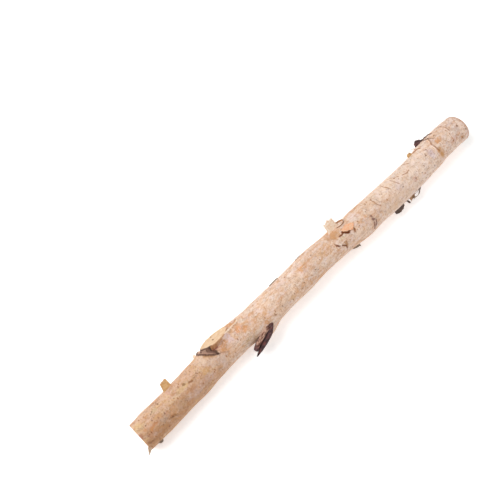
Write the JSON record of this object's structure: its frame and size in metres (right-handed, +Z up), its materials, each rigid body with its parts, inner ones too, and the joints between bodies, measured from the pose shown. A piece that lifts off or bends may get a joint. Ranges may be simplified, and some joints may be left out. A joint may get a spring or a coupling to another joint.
{
  "type": "birch wood log",
  "caption": "Slender birch log with its bark on, sawn square at both ends, gently bent, with a sawn branch stub, a broken branch stub and curls of peeling bark.",
  "frame": {"origin": "on the surface that the log rests on, below the middle of its bounding box", "axes": "+X along the log from its thin end to its butt end, +Z up from the surface that it rests on"},
  "size_m": [0.4036, 0.0402, 0.0302],
  "materials": {
    "bark": "matt, thin pale papery bark, lightly lined and freckled",
    "sawn_wood": "matt, freshly sawn pale wood",
    "dark_bark": "matt, rough dark grey-brown bark of old branch stubs"
  },
  "bodies": {
    "root": {"log": "bark"}
  },
  "joints": []
}
